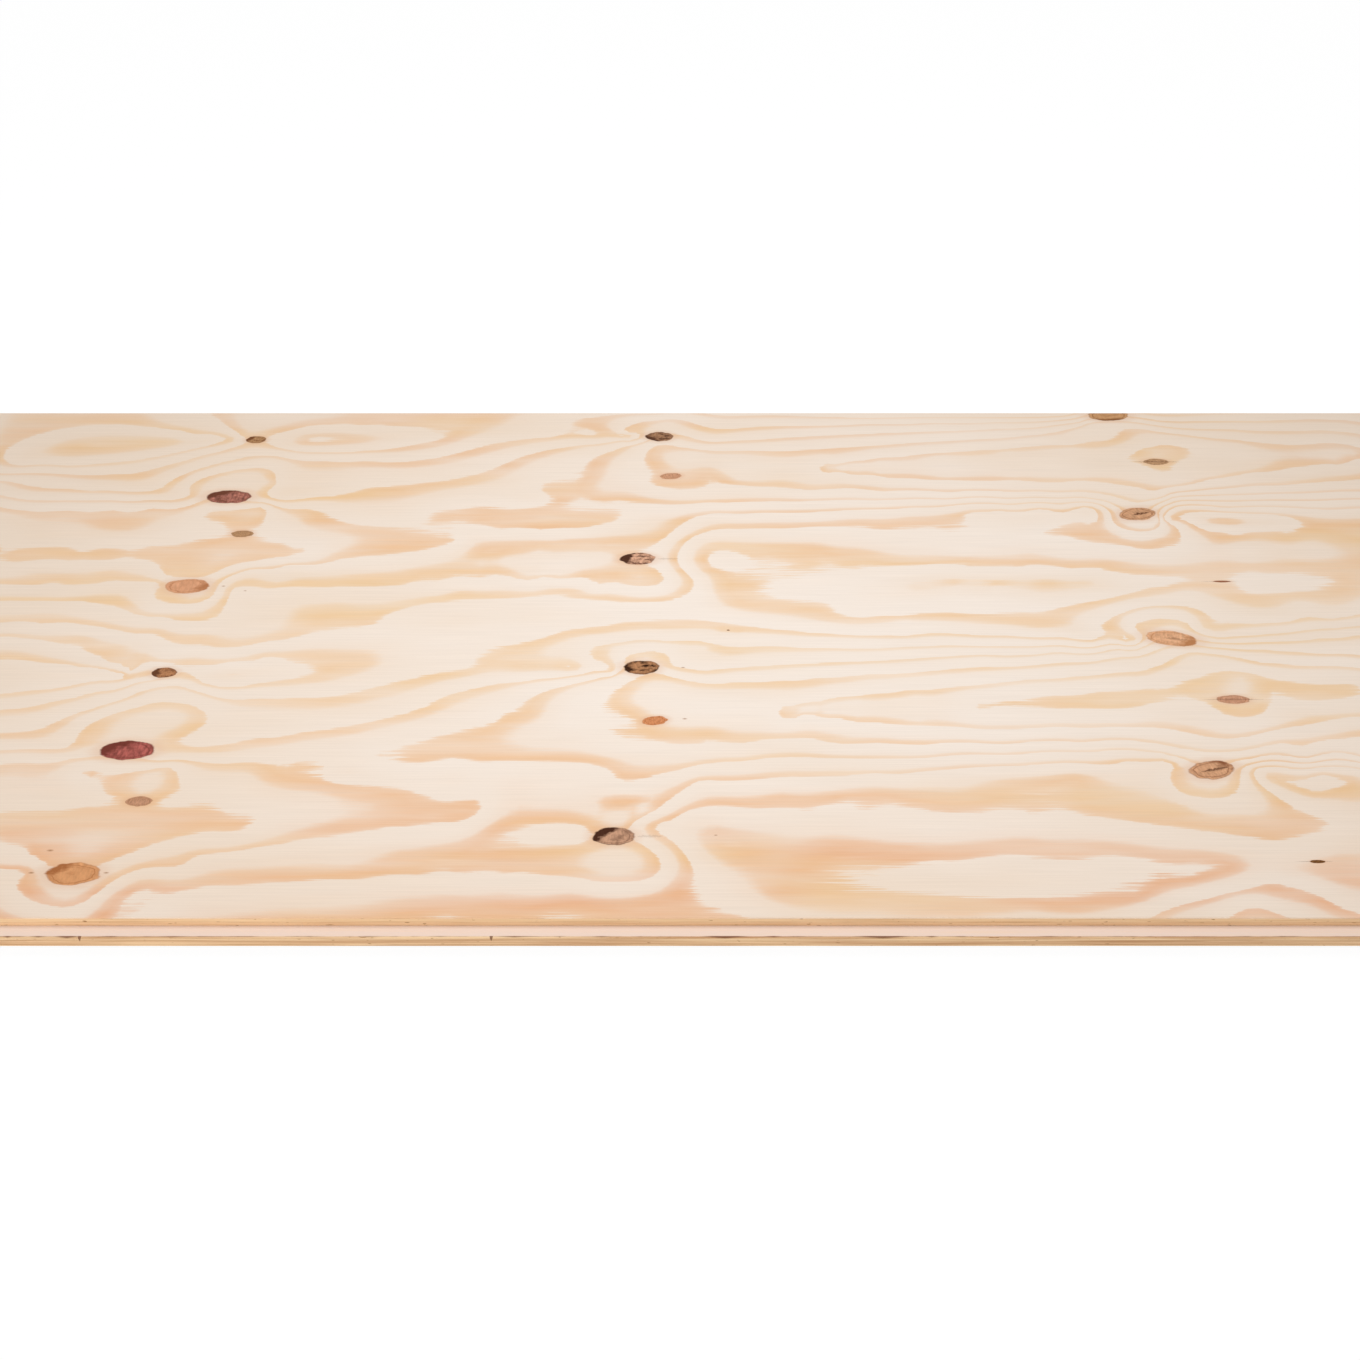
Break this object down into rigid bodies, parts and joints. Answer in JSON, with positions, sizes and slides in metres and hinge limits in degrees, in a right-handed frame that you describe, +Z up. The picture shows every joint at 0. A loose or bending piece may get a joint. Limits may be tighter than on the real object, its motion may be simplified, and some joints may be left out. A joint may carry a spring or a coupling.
{
  "type": "underlayment board",
  "caption": "Flat softwood plywood underlayment board with a bevelled tongue along one long edge and a matching groove along the other, for laying floor decks.",
  "frame": {"origin": "centre of the board's overall box, tongue included, on its underside", "axes": "+X along the length and the face grain, -Y out of the tongue, +Y out of the groove, +Z up through the thickness"},
  "size_m": [2.44, 0.61, 0.018],
  "materials": {
    "pine_plywood": "raw rotary-peeled pine veneer, lightly sanded, with knots and sawn ply edges"
  },
  "bodies": {
    "root": {"board": "pine_plywood"}
  },
  "joints": []
}
